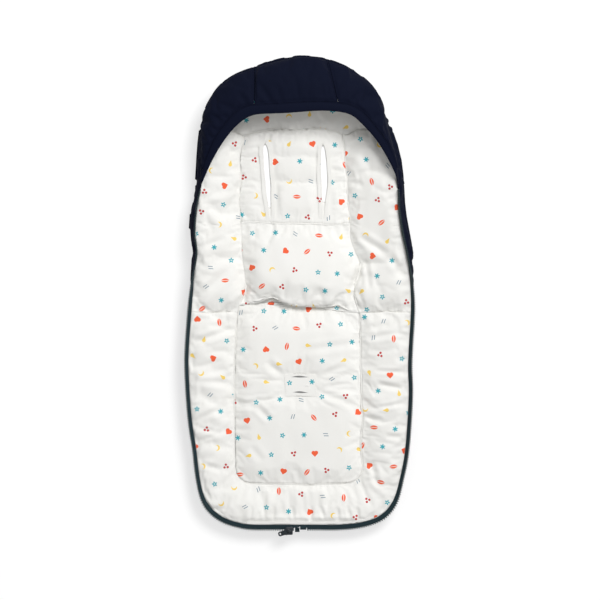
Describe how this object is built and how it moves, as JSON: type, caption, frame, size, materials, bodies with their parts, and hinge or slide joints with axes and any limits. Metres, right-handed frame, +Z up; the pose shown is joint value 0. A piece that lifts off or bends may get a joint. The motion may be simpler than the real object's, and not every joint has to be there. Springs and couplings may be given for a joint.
{
  "type": "stroller footmuff",
  "caption": "Padded pushchair footmuff lying open: quilted liner with harness slots, hood with edge casing, side walls and half of a moulded zip with slider.",
  "frame": {"origin": "on the floor below the middle of the footmuff's bounding box", "axes": "+X to the right seen from above, +Y towards the head, +Z up from the floor it lies on"},
  "size_m": [0.4803, 0.9978, 0.1065],
  "materials": {
    "navy_softshell": "matt brushed softshell cloth",
    "printed_liner": "matt white printed cotton jersey",
    "slot_facing": "plain white woven cotton",
    "white_piping": "plain white piping",
    "wadding": "soft polyester wadding",
    "zip_tape": "woven dark teal tape",
    "zip_teeth": "moulded acetal",
    "slider_metal": "satin dark lacquer",
    "grip_rubber": "matt non-slip dots"
  },
  "bodies": {
    "seat": {"back_shell_lower": "navy_softshell", "side_gusset_left_lower": "navy_softshell", "side_gusset_right_lower": "navy_softshell", "wadding_lower": "wadding", "seat_panel": "printed_liner", "seat_border": "printed_liner", "crotch_slot_facing": "slot_facing", "foot_piping": "white_piping", "grip_patch": "grip_rubber", "zip_tape_left_lower": "zip_tape", "zip_tape_right_lower": "zip_tape", "zip_teeth_left_lower": "zip_teeth", "zip_teeth_right_lower": "zip_teeth", "zip_box": "zip_teeth", "zip_pin": "zip_teeth"},
    "backrest": {"back_shell_upper": "navy_softshell", "side_gusset_left_upper": "navy_softshell", "side_gusset_right_upper": "navy_softshell", "wadding_upper": "wadding", "wing_left": "printed_liner", "wing_right": "printed_liner", "lumbar_pillow": "printed_liner", "back_panel": "printed_liner", "head_liner": "printed_liner", "harness_slot_facing_left": "slot_facing", "harness_slot_facing_right": "slot_facing", "hood_left_panel": "navy_softshell", "hood_centre_panel": "navy_softshell", "hood_right_panel": "navy_softshell", "hood_edge_band": "navy_softshell", "hood_lining": "printed_liner", "zip_tape_left_upper": "zip_tape", "zip_tape_right_upper": "zip_tape", "zip_teeth_left_upper": "zip_teeth", "zip_teeth_right_upper": "zip_teeth", "zip_top_stop_left": "zip_teeth", "zip_top_stop_right": "zip_teeth"},
    "slider": {"slider_body": "slider_metal"},
    "pull": {"pull_tab": "slider_metal"}
  },
  "joints": [
    {"name": "hip_fold", "type": "hinge", "parent": "seat", "child": "backrest", "pos_m": [0, -0.03391, 0.0505], "axis": [1, 0, 0], "range_deg": [0, 75]},
    {"name": "slider_travel", "type": "slide", "parent": "seat", "child": "slider", "axis": [-1, 0, 0], "range_m": [0, 0.045]},
    {"name": "pull_tab_swing", "type": "hinge", "parent": "slider", "child": "pull", "pos_m": [-0.0218, -0.48754, 0.03928], "axis": [-0.309, 0.9511, 0], "range_deg": [0, 170]}
  ]
}
